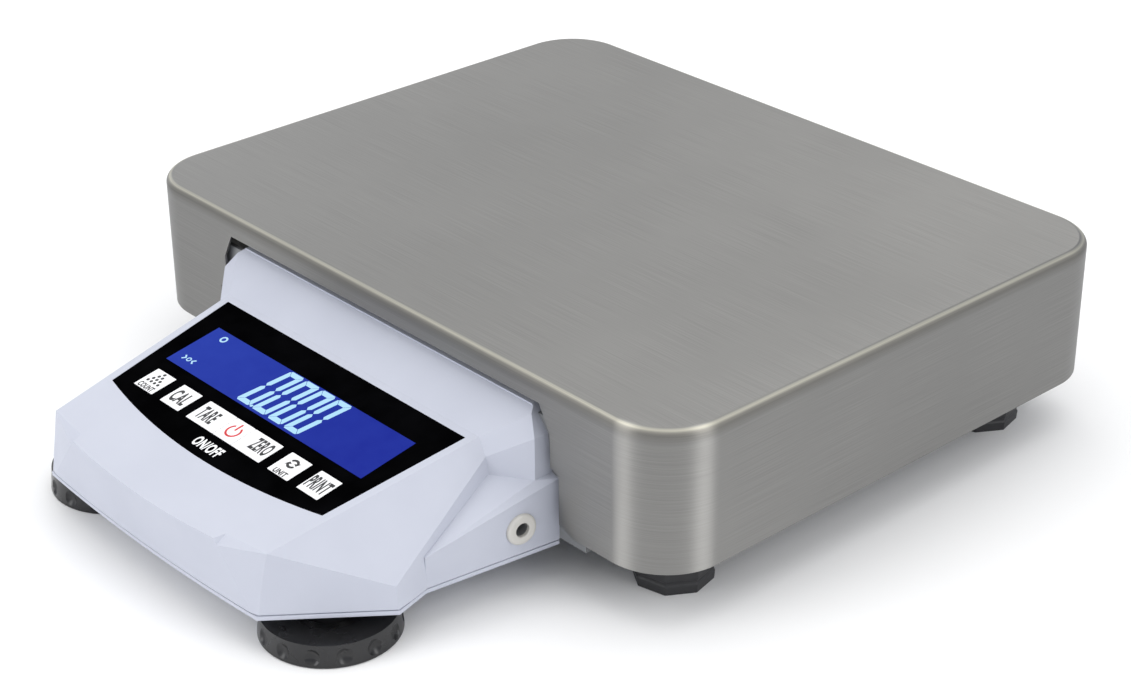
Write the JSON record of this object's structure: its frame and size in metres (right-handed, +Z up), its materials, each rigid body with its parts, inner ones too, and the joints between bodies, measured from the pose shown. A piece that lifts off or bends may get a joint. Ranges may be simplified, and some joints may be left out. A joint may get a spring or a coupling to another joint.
{
  "type": "bench scale",
  "caption": "Low bench scale: a rectangular stainless weighing platform on a single-point load cell, with a sloping console holding a display and push keys in front, on screw-adjustable feet.",
  "frame": {"origin": "centre of the whole scale's footprint, on the bench it stands on", "axes": "+X to the operator's right, +Y to the back, +Z up"},
  "size_m": [0.34, 0.384, 0.087],
  "materials": {
    "platform_steel": "brushed stainless sheet",
    "plated_steel": "zinc-plated steel",
    "base_paint": "grey powder coat",
    "cell_alloy": "bare machined alloy",
    "shell_plastic": "cool white moulded plastic",
    "overlay_film": "black printed film",
    "key_white": "white printed keys",
    "window_clear": "clear window",
    "lcd_blue": "lit blue display",
    "diffuser": "white light guide",
    "board_green": "circuit board",
    "chip_black": "moulded components",
    "foot_rubber": "dark moulded rubber",
    "wheel_plastic": "glossy dark moulding",
    "inlet_plastic": "off-white moulding",
    "brass": "turned brass",
    "silicone": "white sealing compound",
    "cable_jacket": "black cable jacket"
  },
  "bodies": {
    "root": {"pan_spider": "plated_steel", "pan_bumpers": "foot_rubber", "load_cell": "cell_alloy", "gauge_potting": "silicone", "lower_cell_spacer": "plated_steel", "upper_cell_spacer": "plated_steel", "lower_cell_bolts": "plated_steel", "upper_cell_bolts": "plated_steel", "stop_screws": "plated_steel", "stop_nuts": "plated_steel", "base_frame": "base_paint", "weld_nuts": "plated_steel", "upper_housing": "shell_plastic", "lower_housing": "shell_plastic", "keypad_overlay": "overlay_film", "display_window": "window_clear", "lcd_panel": "lcd_blue", "lcd_backlight": "diffuser", "display_board": "board_green", "display_screws": "plated_steel", "tact_switches": "chip_black", "main_board": "board_green", "board_parts": "chip_black", "board_screws": "plated_steel", "ribbon_cable": "diffuser", "signal_cable": "cable_jacket", "cable_grommet": "foot_rubber", "dc_jack": "inlet_plastic", "dc_jack_pin": "brass", "dc_jack_nut": "plated_steel", "housing_screws": "plated_steel", "neck_screws": "plated_steel", "stud_inserts": "brass"},
    "pan": {"platform_pan": "platform_steel"},
    "key_sample": {"key_sample": "key_white"},
    "key_cal": {"key_cal": "key_white"},
    "key_tare": {"key_tare": "key_white"},
    "key_power": {"key_power": "key_white"},
    "key_zero": {"key_zero": "key_white"},
    "key_unit": {"key_unit": "key_white"},
    "key_print": {"key_print": "key_white"},
    "lift_foot_fl": {"foot_stud_fl": "plated_steel"},
    "turn_foot_fl": {"corner_foot_fl": "foot_rubber"},
    "lift_foot_fr": {"foot_stud_fr": "plated_steel"},
    "turn_foot_fr": {"corner_foot_fr": "foot_rubber"},
    "lift_foot_bl": {"foot_stud_bl": "plated_steel"},
    "turn_foot_bl": {"corner_foot_bl": "foot_rubber"},
    "lift_foot_br": {"foot_stud_br": "plated_steel"},
    "turn_foot_br": {"corner_foot_br": "foot_rubber"},
    "lift_wheel_l": {"wheel_stud_l": "plated_steel", "wheel_sole_l": "foot_rubber"},
    "turn_wheel_l": {"thumbwheel_l": "wheel_plastic"},
    "lift_wheel_r": {"wheel_stud_r": "plated_steel", "wheel_sole_r": "foot_rubber"},
    "turn_wheel_r": {"thumbwheel_r": "wheel_plastic"}
  },
  "joints": [
    {"name": "pan_lift", "type": "slide", "parent": "root", "child": "pan", "axis": [0, 0, 1], "range_m": [0, 0.06]},
    {"name": "press_sample", "type": "slide", "parent": "root", "child": "key_sample", "axis": [0, 0.1779, -0.984], "range_m": [0, 0.0004], "stiffness_N_per_m": 5000},
    {"name": "press_cal", "type": "slide", "parent": "root", "child": "key_cal", "axis": [0, 0.1779, -0.984], "range_m": [0, 0.0004], "stiffness_N_per_m": 5000},
    {"name": "press_tare", "type": "slide", "parent": "root", "child": "key_tare", "axis": [0, 0.1779, -0.984], "range_m": [0, 0.0004], "stiffness_N_per_m": 5000},
    {"name": "press_power", "type": "slide", "parent": "root", "child": "key_power", "axis": [0, 0.1779, -0.984], "range_m": [0, 0.0004], "stiffness_N_per_m": 5000},
    {"name": "press_zero", "type": "slide", "parent": "root", "child": "key_zero", "axis": [0, 0.1779, -0.984], "range_m": [0, 0.0004], "stiffness_N_per_m": 5000},
    {"name": "press_unit", "type": "slide", "parent": "root", "child": "key_unit", "axis": [0, 0.1779, -0.984], "range_m": [0, 0.0004], "stiffness_N_per_m": 5000},
    {"name": "press_print", "type": "slide", "parent": "root", "child": "key_print", "axis": [0, 0.1779, -0.984], "range_m": [0, 0.0004], "stiffness_N_per_m": 5000},
    {"name": "lift_foot_fl", "type": "slide", "parent": "root", "child": "lift_foot_fl", "axis": [0, 0, -1], "range_m": [-0.0025, 0.0075]},
    {"name": "turn_foot_fl", "type": "hinge", "parent": "lift_foot_fl", "child": "turn_foot_fl", "pos_m": [-0.1356, -0.0343, 0], "axis": [0, 0, -1], "range_deg": [-720, 2160]},
    {"name": "lift_foot_fr", "type": "slide", "parent": "root", "child": "lift_foot_fr", "axis": [0, 0, -1], "range_m": [-0.0025, 0.0075]},
    {"name": "turn_foot_fr", "type": "hinge", "parent": "lift_foot_fr", "child": "turn_foot_fr", "pos_m": [0.1356, -0.0343, 0], "axis": [0, 0, -1], "range_deg": [-720, 2160]},
    {"name": "lift_foot_bl", "type": "slide", "parent": "root", "child": "lift_foot_bl", "axis": [0, 0, -1], "range_m": [-0.0025, 0.0075]},
    {"name": "turn_foot_bl", "type": "hinge", "parent": "lift_foot_bl", "child": "turn_foot_bl", "pos_m": [-0.1356, 0.1533, 0], "axis": [0, 0, -1], "range_deg": [-720, 2160]},
    {"name": "lift_foot_br", "type": "slide", "parent": "root", "child": "lift_foot_br", "axis": [0, 0, -1], "range_m": [-0.0025, 0.0075]},
    {"name": "turn_foot_br", "type": "hinge", "parent": "lift_foot_br", "child": "turn_foot_br", "pos_m": [0.1356, 0.1533, 0], "axis": [0, 0, -1], "range_deg": [-720, 2160]},
    {"name": "lift_wheel_l", "type": "slide", "parent": "root", "child": "lift_wheel_l", "axis": [0, 0, -1], "range_m": [-0.0025, 0.0075]},
    {"name": "turn_wheel_l", "type": "hinge", "parent": "lift_wheel_l", "child": "turn_wheel_l", "pos_m": [-0.0738, -0.156, 0], "axis": [0, 0, -1], "range_deg": [-720, 2160]},
    {"name": "lift_wheel_r", "type": "slide", "parent": "root", "child": "lift_wheel_r", "axis": [0, 0, -1], "range_m": [-0.0025, 0.0075]},
    {"name": "turn_wheel_r", "type": "hinge", "parent": "lift_wheel_r", "child": "turn_wheel_r", "pos_m": [0.0738, -0.156, 0], "axis": [0, 0, -1], "range_deg": [-720, 2160]}
  ],
  "couplings": [
    {"joint": "lift_foot_fl", "follows": "turn_foot_fl", "m_per_rad": 0.00019894},
    {"joint": "lift_foot_fr", "follows": "turn_foot_fr", "m_per_rad": 0.00019894},
    {"joint": "lift_foot_bl", "follows": "turn_foot_bl", "m_per_rad": 0.00019894},
    {"joint": "lift_foot_br", "follows": "turn_foot_br", "m_per_rad": 0.00019894},
    {"joint": "lift_wheel_l", "follows": "turn_wheel_l", "m_per_rad": 0.00019894},
    {"joint": "lift_wheel_r", "follows": "turn_wheel_r", "m_per_rad": 0.00019894}
  ]
}
